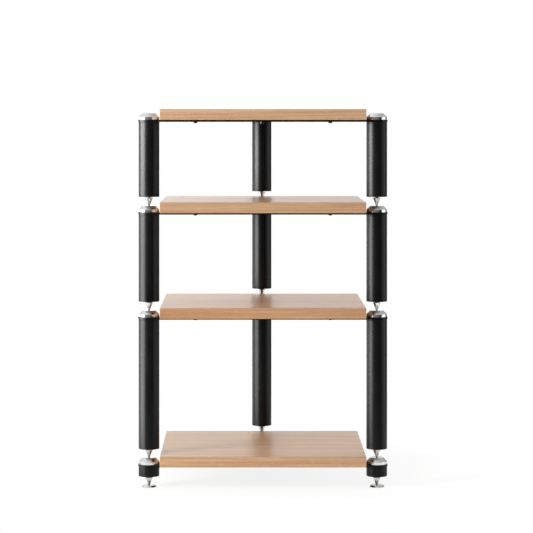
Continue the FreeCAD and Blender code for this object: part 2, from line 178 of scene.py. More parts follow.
# the veneer's figures: cycles a metre along and across the grain, then the noise's detail and roughness
SWAY = (2.2, 7.0, 1.5, 0.5)
UNEVEN = (3.0, 40.0, 2.0, 0.5)
STREAKS = (2.0, 150.0, 3.0, 0.65)
BANDS = (0.9, 26.0, 3.0, 0.65)
FIBRES = (14.0, 620.0, 3.0, 0.6)
HUES = (1.4, 16.0, 2.0, 0.5)
PORES = (75.0, 2100.0, 1.0, 0.5)
FLECKS = (45.0, 260.0, 0.0, 0.5)
SHEEN = (9.0, 60.0, 2.0, 0.5)
RINGS_A_METRE = 120.0
RING_SWAY = 0.05
RING_UNEVENNESS = 1.6
RING_SHARPNESS = 3.0
# what each figure adds to the tone, everywhere or on top only, and how strongly each detail's colour shows
TONE_START = -0.25
FIBRE_TONE = 0.45
STREAK_TONE = 1.05
RING_TONE = -0.10
TOP_RING_TONE = -0.15
TOP_BAND_TONE = 1.2
FLECK_SHARE = 0.25
PORE_SHARE = 0.42
# how strongly the painted dark reflection and the painted highlight on the arrises show
DARK_REFLECTION_SHARE = 0.55
ARRIS_HIGHLIGHT_SHARE = 0.60
# a pore's strength: what the dark part of a ring adds to it, and what it is elsewhere
PORES_BY_RING = (0.75, 0.25)
# the sheen, and the relief: its height at pores and along fibres, then its strength and depth
LACQUER = {"Specular IOR Level": 0.6, "Coat Weight": 1.0, "Coat IOR": 1.6}
OAK_ROUGHNESS = (0.52, 0.62)
PORE_ROUGHNESS = 0.2
PORE_HEIGHT = -0.8
FIBRE_HEIGHT = 0.5
VENEER_RELIEF = (0.25, 0.12 * MM)

# faces, told by their normals: an edge or end has more than this along its axis, an arris has less than this
# along every axis, a lower arris less than this upwards, and a face that points down less than this
EDGE_FACING = 0.6
ARRIS_FACING = 0.9
LOWER_FACING = -0.3
DOWN_FACING = -0.9

# paints: colour, roughness, and the cycles a metre and depth of the grain. Shades are places on a ramp, each
# with its share of the colour, and a spread lies round the roughness
TUBE_PAINT = ((0.0036, 0.0036, 0.0037), 0.33, (2200.0, 0.02 * MM))
PLATE_PAINT = ((0.0026, 0.0026, 0.0027), 0.35, (1500.0, 0.04 * MM))
PAINT_SHADES = ((0.35, 0.7), (0.65, 1.35))
PAINT_SPREAD = (-0.03, 0.03)
PAINT_SPECULAR = 0.18
SPECK_NOISE = (2.0, 0.6)
SPECK_WEIGHT = 0.5
CLOUD_WEIGHT = 0.5
SPECK_STRENGTH = 0.3
SCUFF_GREY = (0.12, 0.12, 0.12, 1.0)
SCUFF_LEVELS = (0.0, 0.5)
SCUFF_SHARE = 0.06
SCUFF_ROUGHNESS = 0.12

# bare and plated metals: colour and roughness, and the strength and depth of their tool marks
BARE_STEEL = [(0.35, (0.42, 0.42, 0.41)), (0.65, (0.55, 0.55, 0.54))]
BARE_ROUGHNESS = (0.26, 0.36)
BARE_MARKS = (0.2, 0.02 * MM)
BLACK_OXIDE = ((0.035, 0.035, 0.038), 0.34)
CHROME = ((0.68, 0.68, 0.685), 0.16)
ZINC = ((0.62, 0.64, 0.66), 0.30)
BRASS = ((0.78, 0.56, 0.25), 0.26)
PLATED_SHADES = ((0.3, 0.93), (0.6, 1.0))
PLATED_SPREAD = (-0.02, 0.03)
PLATED_MARKS = (0.12, 0.02 * MM)
MARK_WEIGHT = 0.35
HAZE_WEIGHT = 0.65
HAIRLINE_ROUGHNESS = 0.08

# the metals' figures: cycles a metre along x, y and z, or for rings outwards from the axis and along it, then
# the noise's detail and roughness
CLOUDS = ((26.0, 26.0, 14.0), 3.0, 0.55)
SCUFFS = ((300.0, 300.0, 60.0), 2.0, 0.7)
PLUG_RINGS = ((2400.0, 1.0, 2400.0), 2.0, 0.6)
CAP_RINGS = ((1900.0, 1.0, 1900.0), 2.0, 0.6)
PLATED_HAZE = ((70.0, 70.0, 70.0), 3.0, 0.6)
HAIRLINES = ((500.0, 500.0, 2600.0), 1.0, 0.5)

# ranges: nothing to all, the middle of a noise, and where a noise starts to show as a pore, fleck or the like
ALL = (0.0, 1.0)
MIDDLE = (0.3, 0.7)
PORE_CUT = (0.60, 0.72)
FLECK_CUT = (0.66, 0.78)
HUE_CUT = (0.38, 0.62)
SCUFF_CUT = (0.66, 0.80)
HAIRLINE_CUT = (0.68, 0.78)

# floor: its size, where its fade into the background starts and ends, the grey that throws light back on the
# object, the grey that takes the shadow, and the glow that makes it white, to the lens and in the gloss
FLOOR_RADIUS = 0.95
FLOOR_CENTRE = (0.0, 0.15, 0.0)
FLOOR_FLATS = 96
FLOOR_FADE = (0.55, 0.87)
LIT_GREY = (0.8, 0.8, 0.8, 1.0)
SHADOW_GREY = (0.16, 0.16, 0.16, 1.0)
WHITE = (1.0, 1.0, 1.0, 1.0)
NEAR_GLOW = (0.86, 0.71)
FAR_GLOW = (1.0, 1.4)

# the studio as the gloss sees it: the backdrop at the horizon and high up, the ceiling and the room behind
# the lens on the left and the right, the ground, and the screens at the two sides
BACKDROP = (2.30, 0.48)
CEILING = (1.10, 0.60)
ROOM = (0.28, 0.15)
GROUND = (0.0, 0.70)
LEFT_SCREEN = (0.0, 2.60)
RIGHT_SCREEN = (0.0, 1.60)
# where they begin and end, by a ray's direction: x right, y away from the lens, z up. A pair of ranges also
# says by how much the height shifts, or what share of the brightness is left
BACKDROP_TILT = ((-0.05, 0.06), (-0.035, 0.025))
BACKDROP_HEIGHT = (0.0, 0.25)
BACKDROP_REAR = (0.80, 0.92)
BACKDROP_RIGHT = ((0.12, 0.40), (1.0, 0.30))
CEILING_WIDTH = (-0.40, 0.40)
CEILING_EDGE = (0.18, 0.48)
GROUND_EDGE = (-0.15, -0.40)
RIGHT_SCREEN_EDGE = (0.80, 0.88)
RIGHT_SCREEN_REAR = ((0.28, 0.42), (1.0, 0.2))
LEFT_SCREEN_LEAN = -0.2
LEFT_SCREEN_EDGE = (-0.66, -0.74)
LEFT_SCREEN_TOP = ((0.0, 0.07), (1.0, 0.30))
ROOM_WIDTH = (-0.60, 0.20)
ROOM_RIGHT = ((0.38, 0.52), (1.0, 0.15))
# the even light on the object, from the left and from the right
EVEN_LIGHT = (0.44, 0.35)

# lamps for the gloss: place, the point faced, width and height, watts, and the finish that they reach
GLOSS_LAMPS = {
    "band_high": ((-1.50, -0.56, 1.27), (0.0, -0.10, 1.27), (1.25, 1.10), 142.0, "black"),
    "band_low": ((-1.50, -0.56, 0.20), (0.0, -0.10, 0.20), (1.25, 1.04), 47.0, "black"),
    "band_oak": ((-1.50, -0.56, 0.75), (0.0, -0.10, 0.75), (1.25, 2.10), 14.0, "oak"),
}
# lamps for the light and the shadows: place, width and height, and watts; all face one point
SOFT_LAMPS = {
    "left_light": ((-2.9, -1.75, 1.40), (1.0, 1.3), 118.0),
    "front_light": ((-0.5, -2.6, 2.6), (1.8, 1.8), 21.0),
    "rear_light": ((-0.6, 1.9, 1.4), (1.2, 1.2), 16.0),
    "right_light": ((2.1, 0.9, 0.9), (1.0, 1.4), 12.0),
}
LIT_POINT = (0.0, 0.0, 0.45)

# camera, from the size of the picture and the pixel that the lens axis goes through
PICTURE = 533
FOCAL_PIXELS = 1997
AXIS_PIXEL = (247, 117)
SENSOR = 36
CAMERA_PLACE = (-0.0388, -5.0565, 0.904)
CAMERA_REACH = 50.0

# a Mix node's two inputs and its result, by the kind of what it mixes
MIX_SOCKETS = {"VECTOR": (4, 5, 1), "RGBA": (6, 7, 2)}


def node_tree(owner):
    """The owner's node tree, emptied."""
    owner.use_nodes = True
    owner.node_tree.nodes.clear()
    return owner.node_tree


def add(tree, kind, *inputs, **settings):
    """A node with its settings, and its inputs linked or set in order."""
    made = tree.nodes.new("ShaderNode" + kind)
    for name, value in settings.items():
        setattr(made, name, value)
    for place, value in enumerate(inputs):
        set_input(tree, made.inputs[place], value)
    return made


def set_input(tree, socket, value):
    """Links an input to an output, or sets its value."""
    if isinstance(value, bpy.types.NodeSocket):
        tree.links.new(value, socket)
    else:
        socket.default_value = value


def math_node(tree, operation, *inputs):
    return add(tree, "Math", *inputs, operation=operation).outputs[0]


def multiply(tree, value, factor):
    return math_node(tree, "MULTIPLY", value, factor)


def weighted(tree, first, first_weight, second, second_weight):
    """The sum of two values, each times its weight."""
    return math_node(tree, "MULTIPLY_ADD", first, first_weight, multiply(tree, second, second_weight))


def largest(tree, value, *others):
    for other in others:
        value = math_node(tree, "MAXIMUM", value, other)
    return value


def fade(tree, value, between, levels, shape="LINEAR"):
    """Goes from the first level to the second while the value crosses the range, and stays there."""
    return add(tree, "MapRange", value, *between, *levels, interpolation_type=shape).outputs[0]


def split(tree, vector):
    return add(tree, "SeparateXYZ", vector).outputs


def join(tree, x, y, z):
    return add(tree, "CombineXYZ", x, y, z).outputs[0]


def vector_node(tree, operation, *inputs):
    made = add(tree, "VectorMath", *inputs, operation=operation)
    return made.outputs[1 if operation in ("LENGTH", "DISTANCE") else 0]


def blend(tree, kind, factor, low, high):
    first, second, result = MIX_SOCKETS[kind]
    made = add(tree, "Mix", data_type=kind)
    set_input(tree, made.inputs[0], factor)
    set_input(tree, made.inputs[first], low)
    set_input(tree, made.inputs[second], high)
    return made.outputs[result]


def blend_colour(tree, factor, low, high):
    return blend(tree, "RGBA", factor, low, high)


def blend_vector(tree, factor, low, high):
    return blend(tree, "VECTOR", factor, low, high)


def noise(tree, vector, stretch, detail, roughness):
    """Noise from 0 to 1, at that many cycles a metre along each axis."""
    scaled = vector_node(tree, "MULTIPLY", vector, stretch)
    made = add(tree, "TexNoise", scaled, noise_dimensions="3D")
    made.inputs["Scale"].default_value = 1.0
    made.inputs["Detail"].default_value = detail
    made.inputs["Roughness"].default_value = roughness
    return made.outputs[0]


def figure(tree, grain, kind):
    """One of the veneer's figures, in grain coordinates."""
    along, across, detail, roughness = kind
    return noise(tree, grain, (along, across, across), detail, roughness)


def ramp(tree, factor, stops):
    made = add(tree, "ValToRGB", factor)
    elements = made.color_ramp.elements
    while len(elements) < len(stops):
        elements.new(1.0)
    for element, (position, colour) in zip(elements, stops):
        element.position = position
        element.color = (*colour, 1.0)
    return made.outputs[0]


def shader(name):
    """A new material's tree with a Principled shader on its output."""
    material = bpy.data.materials.new(name)
    tree = node_tree(material)
    surface = add(tree, "BsdfPrincipled")
    add(tree, "OutputMaterial", surface.outputs[0])
    return material, tree, surface


def set_bump(tree, surface, height, strength, distance):
    bump = add(tree, "Bump")
    bump.inputs["Strength"].default_value = strength
    bump.inputs["Distance"].default_value = distance
    tree.links.new(height, bump.inputs["Height"])
    tree.links.new(bump.outputs[0], surface.inputs["Normal"])


def shades(colour, steps):
    """Stops for a ramp, each with its share of a colour."""
    return [(position, tuple(share * c for c in colour)) for position, share in steps]


def around(value, spread):
    return [value + step for step in spread]


def tinted(stops, tint):
    return [(position, tuple(c * t for c, t in zip(colour, tint))) for position, colour in stops]


def grain_place(tree, xyz, facing, top_height, cut_from):
    """Coordinates along, across and through the grain; the edges and ends have strips of their own."""
    on_front = math_node(tree, "GREATER_THAN", facing[1], EDGE_FACING)
    on_end = math_node(tree, "GREATER_THAN", facing[0], EDGE_FACING)
    level = math_node(tree, "SUBTRACT", xyz[2], top_height)
    edge_across = math_node(tree, "ADD", level, EDGE_STRIP)
    end_along = math_node(tree, "ADD", xyz[1], END_STRIP)
    top = join(tree, xyz[0], xyz[1], level)
    front = join(tree, xyz[0], edge_across, xyz[1])
    end = join(tree, end_along, edge_across, xyz[0])
    grain = blend_vector(tree, on_front, top, front)
    grain = blend_vector(tree, on_end, grain, end)
    return vector_node(tree, "ADD", grain, cut_from)


def growth_rings(tree, grain, heart):
    """Rings round a heart line that dips into the veneer, which gives long pointed arches."""
    across_place, slope, depth = heart
    sway = math_node(tree, "SUBTRACT", figure(tree, grain, SWAY), 0.5)
    axes = split(tree, grain)
    across = math_node(tree, "MULTIPLY_ADD", sway, RING_SWAY, axes[1])
    across = math_node(tree, "SUBTRACT", across, across_place)
    below = math_node(tree, "MULTIPLY_ADD", axes[0], slope, depth)
    radius = vector_node(tree, "LENGTH", join(tree, 0.0, across, below))
    count = weighted(tree, radius, RINGS_A_METRE, figure(tree, grain, UNEVEN), RING_UNEVENNESS)
    return math_node(tree, "POWER", math_node(tree, "FRACT", count), RING_SHARPNESS)


def oak(name, cut_from, heart, tint, haze, top_height):
    """Lacquered oak veneer: grain along the width on top and edges, along the depth on the ends."""
    material, tree, surface = shader(name)
    place = add(tree, "TexCoord").outputs
    upright = split(tree, place["Normal"])[2]
    facing = split(tree, vector_node(tree, "ABSOLUTE", place["Normal"]))
    grain = grain_place(tree, split(tree, place["Object"]), facing, top_height, cut_from)
    ring = growth_rings(tree, grain, heart)

    streak = figure(tree, grain, STREAKS)
    fibre = figure(tree, grain, FIBRES)
    # pores lie mostly in the dark part of each ring
    pore = fade(tree, figure(tree, grain, PORES), PORE_CUT, ALL)
    pore = multiply(tree, pore, math_node(tree, "MULTIPLY_ADD", ring, *PORES_BY_RING))
    fleck = fade(tree, figure(tree, grain, FLECKS), FLECK_CUT, ALL)

    tone = math_node(tree, "MULTIPLY_ADD", fibre, FIBRE_TONE, TONE_START)
    tone = math_node(tree, "MULTIPLY_ADD", streak, STREAK_TONE, tone)
    tone = math_node(tree, "MULTIPLY_ADD", ring, RING_TONE, tone)
    # on top, the leaf's wide bands and its rings show more than along the edges
    band = math_node(tree, "SUBTRACT", figure(tree, grain, BANDS), 0.5)
    band = weighted(tree, ring, TOP_RING_TONE, band, TOP_BAND_TONE)
    tone = math_node(tree, "MULTIPLY_ADD", band, facing[2], tone)
    hue = fade(tree, figure(tree, grain, HUES), HUE_CUT, ALL)
    tan = ramp(tree, tone, tinted(TAN_OAK, tint))
    pink = ramp(tree, tone, tinted(PINK_OAK, tint))
    colour = blend_colour(tree, hue, tan, pink)
    colour = blend_colour(tree, multiply(tree, fleck, FLECK_SHARE), colour, FLECK_COLOUR)
    colour = blend_colour(tree, multiply(tree, pore, PORE_SHARE), colour, PORE_COLOUR)

    # the arrises: a painted dark reflection along the upper ones, and a painted pale highlight along the
    # lower ones
    arris = math_node(tree, "LESS_THAN", largest(tree, *facing), ARRIS_FACING)
    lower = multiply(tree, arris, math_node(tree, "LESS_THAN", upright, LOWER_FACING))
    upper = math_node(tree, "SUBTRACT", arris, lower)
    colour = blend_colour(tree, multiply(tree, upper, DARK_REFLECTION_SHARE), colour, PAINTED_DARK_REFLECTION)
    colour = blend_colour(tree, multiply(tree, lower, ARRIS_HIGHLIGHT_SHARE), colour, PAINTED_ARRIS_HIGHLIGHT)
    tree.links.new(colour, surface.inputs["Base Color"])

    roughness = fade(tree, figure(tree, grain, SHEEN), MIDDLE, OAK_ROUGHNESS)
    roughness = math_node(tree, "MULTIPLY_ADD", pore, PORE_ROUGHNESS, roughness)
    tree.links.new(roughness, surface.inputs["Roughness"])
    surface.inputs["Coat Roughness"].default_value = haze
    for socket, value in LACQUER.items():
        surface.inputs[socket].default_value = value
    relief = weighted(tree, pore, PORE_HEIGHT, fibre, FIBRE_HEIGHT)
    set_bump(tree, surface, relief, *VENEER_RELIEF)
    return material


def from_axis(tree, place):
    """How far a point lies from the nearest column axis, and its height, as a vector."""
    xyz = split(tree, place)
    flat = join(tree, math_node(tree, "ABSOLUTE", xyz[0]), xyz[1], 0.0)
    front = vector_node(tree, "DISTANCE", flat, (*AXES["right"], 0.0))
    rear = vector_node(tree, "DISTANCE", flat, (*AXES["rear"], 0.0))
    return join(tree, math_node(tree, "MINIMUM", front, rear), 0.0, xyz[2])


def painted_steel(name, colour, roughness, grain):
    """Satin black finish: very fine grain, faint cloudy changes of gloss and dust-grey scuffs."""
    grain_size, grain_depth = grain
    material, tree, surface = shader(name)
    place = add(tree, "TexCoord").outputs["Object"]
    cloud = noise(tree, place, *CLOUDS)
    speck = noise(tree, place, (grain_size,) * 3, *SPECK_NOISE)
    scuff = fade(tree, noise(tree, place, *SCUFFS), SCUFF_CUT, SCUFF_LEVELS)
    mottle = weighted(tree, speck, SPECK_WEIGHT, cloud, CLOUD_WEIGHT)
    base = ramp(tree, mottle, shades(colour, PAINT_SHADES))
    base = blend_colour(tree, multiply(tree, scuff, SCUFF_SHARE), base, SCUFF_GREY)
    tree.links.new(base, surface.inputs["Base Color"])
    rough = fade(tree, cloud, MIDDLE, around(roughness, PAINT_SPREAD))
    rough = math_node(tree, "MULTIPLY_ADD", scuff, SCUFF_ROUGHNESS, rough)
    tree.links.new(rough, surface.inputs["Roughness"])
    surface.inputs["Specular IOR Level"].default_value = PAINT_SPECULAR
    set_bump(tree, surface, speck, SPECK_STRENGTH, grain_depth)
    return material


def plug_steel(name):
    """Satin black like the tubes, with the turned face that points down left bare."""
    material = painted_steel(name, *TUBE_PAINT)
    tree = material.node_tree
    painted = next(node for node in tree.nodes if node.type == "BSDF_PRINCIPLED")
    output = next(node for node in tree.nodes if node.type == "OUTPUT_MATERIAL")
    place = add(tree, "TexCoord").outputs
    rings = noise(tree, from_axis(tree, place["Object"]), *PLUG_RINGS)
    bare = add(tree, "BsdfPrincipled")
    tree.links.new(ramp(tree, rings, BARE_STEEL), bare.inputs["Base Color"])
    bare.inputs["Metallic"].default_value = 1.0
    tree.links.new(fade(tree, rings, MIDDLE, BARE_ROUGHNESS), bare.inputs["Roughness"])
    set_bump(tree, bare, rings, *BARE_MARKS)
    down = math_node(tree, "LESS_THAN", split(tree, place["Normal"])[2], DOWN_FACING)
    both = add(tree, "MixShader", down, painted.outputs[0], bare.outputs[0]).outputs[0]
    tree.links.new(both, output.inputs[0])
    return material


def plated(name, colour, roughness):
    """Plated turned metal: faint tool rings round the axis, fine hairlines and a little haze."""
    material, tree, surface = shader(name)
    place = add(tree, "TexCoord").outputs["Object"]
    rings = noise(tree, from_axis(tree, place), *CAP_RINGS)
    haze = noise(tree, place, *PLATED_HAZE)
    hairline = fade(tree, noise(tree, place, *HAIRLINES), HAIRLINE_CUT, ALL)
    mottle = weighted(tree, rings, MARK_WEIGHT, haze, HAZE_WEIGHT)
    tree.links.new(ramp(tree, mottle, shades(colour, PLATED_SHADES)), surface.inputs["Base Color"])
    surface.inputs["Metallic"].default_value = 1.0
    rough = fade(tree, haze, MIDDLE, around(roughness, PLATED_SPREAD))
    rough = math_node(tree, "MULTIPLY_ADD", hairline, HAIRLINE_ROUGHNESS, rough)
    tree.links.new(rough, surface.inputs["Roughness"])
    set_bump(tree, surface, rings, *PLATED_MARKS)
    return material


def finishes():
    """Every finish by the name that the pieces ask for; each shelf gets its own sheet of veneer."""
    made = {
        "satin_black": painted_steel("satin_black_tube", *TUBE_PAINT),
        "plug_black": plug_steel("satin_black_plug"),
        "black_plate": painted_steel("satin_black_plate", *PLATE_PAINT),
        "black_fastener": plated("black_oxide", *BLACK_OXIDE),
        "chrome": plated("chrome", *CHROME),
        "zinc_fastener": plated("zinc", *ZINC),
        "brass_insert": plated("brass", *BRASS),
    }
    for module, sheet in SHEETS.items():
        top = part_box(f"{module}_shelf")[1].z
        made[f"{module}_oak"] = oak(f"oak_{module}", *sheet, top)
    return made


def rounded(outline, closed):
    """Points (radius, height) of an outline whose corners (radius, height, fillet) are rounded."""
    made = []
    count = len(outline)
    for i, (r, z, fillet) in enumerate(outline):
        if not closed and i in (0, count - 1) or fillet == 0:
            made.append((r, z))
            continue
        before, after = outline[i - 1], outline[(i + 1) % count]
        back = (before[0] - r, before[1] - z)
        ahead = (after[0] - r, after[1] - z)
        length_back, length_ahead = math.hypot(*back), math.hypot(*ahead)
        back = (back[0] / length_back, back[1] / length_back)
        ahead = (ahead[0] / length_ahead, ahead[1] / length_ahead)
        inner = math.acos(max(-1.0, min(1.0, back[0] * ahead[0] + back[1] * ahead[1])))
        reach = min(fillet / math.tan(inner / 2), FILLET_SHARE * length_back, FILLET_SHARE * length_ahead)
        steps = max(2, round((math.pi - inner) / FILLET_STEP))
        hold = FILLET_HOLD * reach
        made.append((r + back[0] * (reach + hold), z + back[1] * (reach + hold)))
        for k in range(steps + 1):
            t = k / steps
            # a quadratic curve through the corner is near enough to an arc at this size
            a, b = (1 - t) ** 2, t ** 2
            made.append((r + reach * (a * back[0] + b * ahead[0]), z + reach * (a * back[1] + b * ahead[1])))
        made.append((r + ahead[0] * (reach + hold), z + ahead[1] * (reach + hold)))
    return made


def lathe(mesh, axis, base, rows, flats, closed):
    """Adds a body turned about an upright axis. A row is (radius, height), or (function of angle, height)."""
    rings = []
    for radius, height in rows:
        z = base + height
        if radius == 0:
            rings.append([mesh.verts.new((*axis, z))])
            continue
        ring = []
        for k in range(flats):
            angle = TURN * k / flats
            r = radius(angle) if callable(radius) else radius
            ring.append(mesh.verts.new((axis[0] + r * math.cos(angle), axis[1] + r * math.sin(angle), z)))
        rings.append(ring)
    pairs = list(zip(rings, rings[1:]))
    if closed:
        pairs.append((rings[-1], rings[0]))
    for low, high in pairs:
        for k in range(flats):
            following = (k + 1) % flats
            if len(low) == 1:
                mesh.faces.new((low[0], high[following], high[k]))
            elif len(high) == 1:
                mesh.faces.new((low[k], low[following], high[0]))
            else:
                mesh.faces.new((low[k], low[following], high[following], high[k]))


def turned(name, node, material, bodies, flats, closed, sharp=SHARP_EDGE):
    """A piece that stands for a node and rides on its body, of turned bodies (axis, base height, rows)."""
    mesh = bmesh.new()
    for axis, base, rows in bodies:
        lathe(mesh, axis, base, rows, flats, closed)
    bmesh.ops.recalc_face_normals(mesh, faces=mesh.faces)
    data = bpy.data.meshes.new(name)
    mesh.to_mesh(data)
    mesh.free()
    data.shade_smooth()
    data.set_sharp_from_angle(angle=math.radians(sharp))
    data.materials.append(material)
    made = bpy.data.objects.new(name, data)
    bpy.context.scene.collection.objects.link(made)
    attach(made, frame["nodes"][node]["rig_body"])
    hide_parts(node)


def tube_rows(length):
    outline = [
        (TUBE_BORE, 0, TUBE_BORE_ROUND),
        (TUBE_RADIUS, 0, EDGE_ROUND),
        (TUBE_RADIUS, length, EDGE_ROUND),
        (TUBE_BORE, length, TUBE_BORE_ROUND),
    ]
    return rounded(outline, True)


def plug_rows(upside_down):
    outline = [
        (THREAD_HOLE, 0, HOLE_ROUND),
        (TUBE_RADIUS, 0, EDGE_ROUND),
        (TUBE_RADIUS, PLUG_FLANGE, EDGE_ROUND),
        (SPIGOT_RADIUS, PLUG_FLANGE, 0),
        (SPIGOT_RADIUS, PLUG_LENGTH, SPIGOT_ROUND),
        (THREAD_HOLE, PLUG_LENGTH, HOLE_ROUND),
    ]
    rows = rounded(outline, True)
    return [(r, PLUG_LENGTH - z) for r, z in rows] if upside_down else rows


def cap_rows():
    outline = [
        (THREAD_HOLE, 0, HOLE_ROUND),
        (CAP_RADIUS, 0, CAP_FOOT_ROUND),
        (CAP_RADIUS, CAP_HEIGHT - CAP_CHAMFER, CHAMFER_ROUND),
        (CAP_RADIUS - CAP_CHAMFER, CAP_HEIGHT, CHAMFER_ROUND),
        (CUP_MOUTH, CAP_HEIGHT, CUP_MOUTH_ROUND),
        (CUP_FLOOR, CAP_HEIGHT - CUP_DEPTH, CUP_FLOOR_ROUND),
        (0, CAP_HEIGHT - CUP_DEPTH, 0),
    ]
    bore = [(0, CAP_BORE_DEPTH), (THREAD_HOLE, CAP_BORE_DEPTH)]
    return bore + rounded(outline, False)


def spike_rows(length):
    """The turned head, then the threaded shank, whose radius follows the helix."""
    outline = [
        (0, 0, 0),
        (TIP_RADIUS, 0, TIP_ROUND),
        (CONE_RADIUS, CONE_LENGTH, CONE_ROUND),
        (SHOULDER_RADIUS, HEAD_LENGTH, SHOULDER_ROUND),
        (THREAD_ROOT, HEAD_LENGTH, 0),
    ]
    rows = rounded(outline, False)
    shank = length - HEAD_LENGTH
    count = round(shank / THREAD_PITCH * THREAD_ROWS)
    for row in range(1, count):
        height = shank * row / count
        share = min(1.0, row / THREAD_START_ROWS, (count - row) / THREAD_ROWS)

        def radius(angle, turns=height / THREAD_PITCH, share=share):
            phase = (turns - angle / TURN) % 1.0
            crest = min(1.0, THREAD_TRIANGLE * (1 - abs(2 * phase - 1)))
            return THREAD_ROOT + share * (THREAD_RADIUS - THREAD_ROOT) * crest

        rows.append((radius, HEAD_LENGTH + height))
    return rows + [(THREAD_ROOT, length), (0, length)]


def collar_rows(height):
    outline = [
        (THREAD_HOLE, 0, HOLE_ROUND),
        (TUBE_RADIUS, 0, COLLAR_ROUND),
        (TUBE_RADIUS, height, COLLAR_ROUND),
        (THREAD_HOLE, height, HOLE_ROUND),
    ]
    return rounded(outline, True)


def shoe_rows():
    outline = [
        (0, 0, 0),
        (SHOE_RADIUS, 0, SHOE_FOOT_ROUND),
        (SHOE_RADIUS, SHOE_RIM, SHOE_RIM_ROUND),
        (SHOE_TOP, SHOE_HEIGHT, SHOE_TOP_ROUND),
        (SHOE_MOUTH, SHOE_HEIGHT, SHOE_MOUTH_ROUND),
        (CUP_FLOOR, SHOE_SEAT, CUP_FLOOR_ROUND),
        (0, SHOE_SEAT, 0),
    ]
    return rounded(outline, False)


def screw_rows(head, length):
    """A screw that points up, from its socket's floor out over the head and up the shank."""
    outline = [
        (SOCKET_RIM * head["flats"], 0, 0),
        (head["crown_radius"], 0, head["crown_round"]),
        (head["radius"], head["crown_fall"], head["rim_round"]),
        (head["radius"], head["height"], HEAD_ROUND),
        (SHANK_RADIUS, head["height"], 0),
        (SHANK_RADIUS, length - SHANK_TAPER, 0),
        (SHANK_END_RADIUS, length, 0),
        (0, length, 0),
    ]
    sixth = TURN / 6

    def side(angle):
        return head["flats"] / 2 / math.cos((angle + sixth / 2) % sixth - sixth / 2)

    depth = head["socket_depth"]
    return [(0, depth), (side, depth), (side, SOCKET_EDGE)] + rounded(outline, False)


def turned_pieces(looks):
    """The turned pieces, each with rounded edges and, on the spikes, a real thread."""
    chrome, black, fastener = looks["chrome"], looks["satin_black"], looks["black_fastener"]
    for module in MODULES:
        node = f"{module}_cap_nuts"
        low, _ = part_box(node)
        caps = [(axis, low.z, cap_rows()) for axis in AXES.values()]
        turned(f"{module}_caps", node, chrome, caps, CAP_FLATS, False)

        node = f"{module}_front_screws"
        low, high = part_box(node)
        rows = screw_rows(BUTTON_HEAD, high.z - low.z)
        ends = (low.x + BUTTON_HEAD["radius"], high.x - BUTTON_HEAD["radius"])
        screws = [((x, (low.y + high.y) / 2), low.z, rows) for x in ends]
        turned(f"{module}_button_screws", node, fastener, screws, SMALL_FLATS, False)

        node = f"{module}_rear_screw"
        low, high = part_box(node)
        screw = ((0.0, (low.y + high.y) / 2), low.z, screw_rows(SOCKET_HEAD, high.z - low.z))
        turned(f"{module}_socket_screw", node, fastener, [screw], SMALL_FLATS, False)

    for module in STACKED:
        node = f"{module}_end_plugs"
        low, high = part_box(node)
        plugs = []
        for axis in AXES.values():
            plugs += [(axis, low.z, plug_rows(False)), (axis, high.z - PLUG_LENGTH, plug_rows(True))]
        turned(f"{module}_plugs", node, looks["plug_black"], plugs, CAP_FLATS, True)

    for place, axis in AXES.items():
        spikes = {f"{module}_{place}_spike": f"{module}_{place}_threaded_spike" for module in STACKED}
        spikes[f"{place}_foot_spike"] = f"{place}_threaded_foot_spike"
        for node, name in spikes.items():
            low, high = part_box(node)
            spike = (axis, low.z, spike_rows(high.z - low.z))
            turned(name, node, chrome, [spike], SMALL_FLATS, False, SHARP_THREAD_EDGE)
        for module in STACKED:
            node = f"{module}_{place}_tube"
            low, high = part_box(node)
            tube = (axis, low.z, tube_rows(high.z - low.z))
            turned(f"{module}_{place}_column", node, black, [tube], TUBE_FLATS, True)
        node = f"{place}_foot_collar"
        low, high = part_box(node)
        collar = (axis, low.z, collar_rows(high.z - low.z))
        turned(f"{place}_collar", node, black, [collar], TUBE_FLATS, True)
        node = f"{place}_floor_shoe"
        low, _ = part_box(node)
        turned(f"{place}_shoe", node, chrome, [(axis, low.z, shoe_rows())], CAP_FLATS, False)


def paint_nodes(looks):
    """Finishes on the nodes that are shown as they come."""
    for name, made in frame["nodes"].items():
        if made.hide_render:
            continue
        module, _, kind = name.partition("_")
        if kind == "shelf":
            material = looks[f"{module}_oak"]
        elif kind == "subframe":
            material = looks["black_plate"]
        elif kind == "shelf_inserts":
            material = looks["brass_insert"]
        else:
            material = looks["zinc_fastener"]
        for place in range(len(made.data.materials)):
            made.data.materials[place] = material


def floor():
    """A round white floor that keeps the object's soft shadow and fades into the background."""
    mesh = bmesh.new()
    bmesh.ops.create_circle(mesh, cap_ends=True, segments=FLOOR_FLATS, radius=FLOOR_RADIUS)
    data = bpy.data.meshes.new("floor")
    mesh.to_mesh(data)
    mesh.free()
    made = bpy.data.objects.new("floor", data)
    bpy.context.scene.collection.objects.link(made)
    made.location = FLOOR_CENTRE
    material = bpy.data.materials.new("white_floor")
    tree = node_tree(material)
    path = add(tree, "LightPath").outputs
    mirrored = path["Is Glossy Ray"]
    glow = add(tree, "Emission", WHITE, fade(tree, mirrored, ALL, NEAR_GLOW)).outputs[0]
    near = add(tree, "AddShader", add(tree, "BsdfDiffuse", SHADOW_GREY).outputs[0], glow).outputs[0]
    far = add(tree, "Emission", WHITE, fade(tree, mirrored, ALL, FAR_GLOW)).outputs[0]
    from_centre = vector_node(tree, "LENGTH", add(tree, "TexCoord").outputs["Object"])
    away = fade(tree, from_centre, FLOOR_FADE, ALL)
    shown = add(tree, "MixShader", away, near, far).outputs[0]
    lit = add(tree, "BsdfDiffuse", LIT_GREY).outputs[0]
    # the glow is for rays that show the floor, straight or in a mirror or glass, and lights nothing
    seen = largest(tree, path["Is Camera Ray"], mirrored, path["Is Transmission Ray"])
    add(tree, "OutputMaterial", add(tree, "MixShader", seen, lit, shown).outputs[0])
    data.materials.append(material)


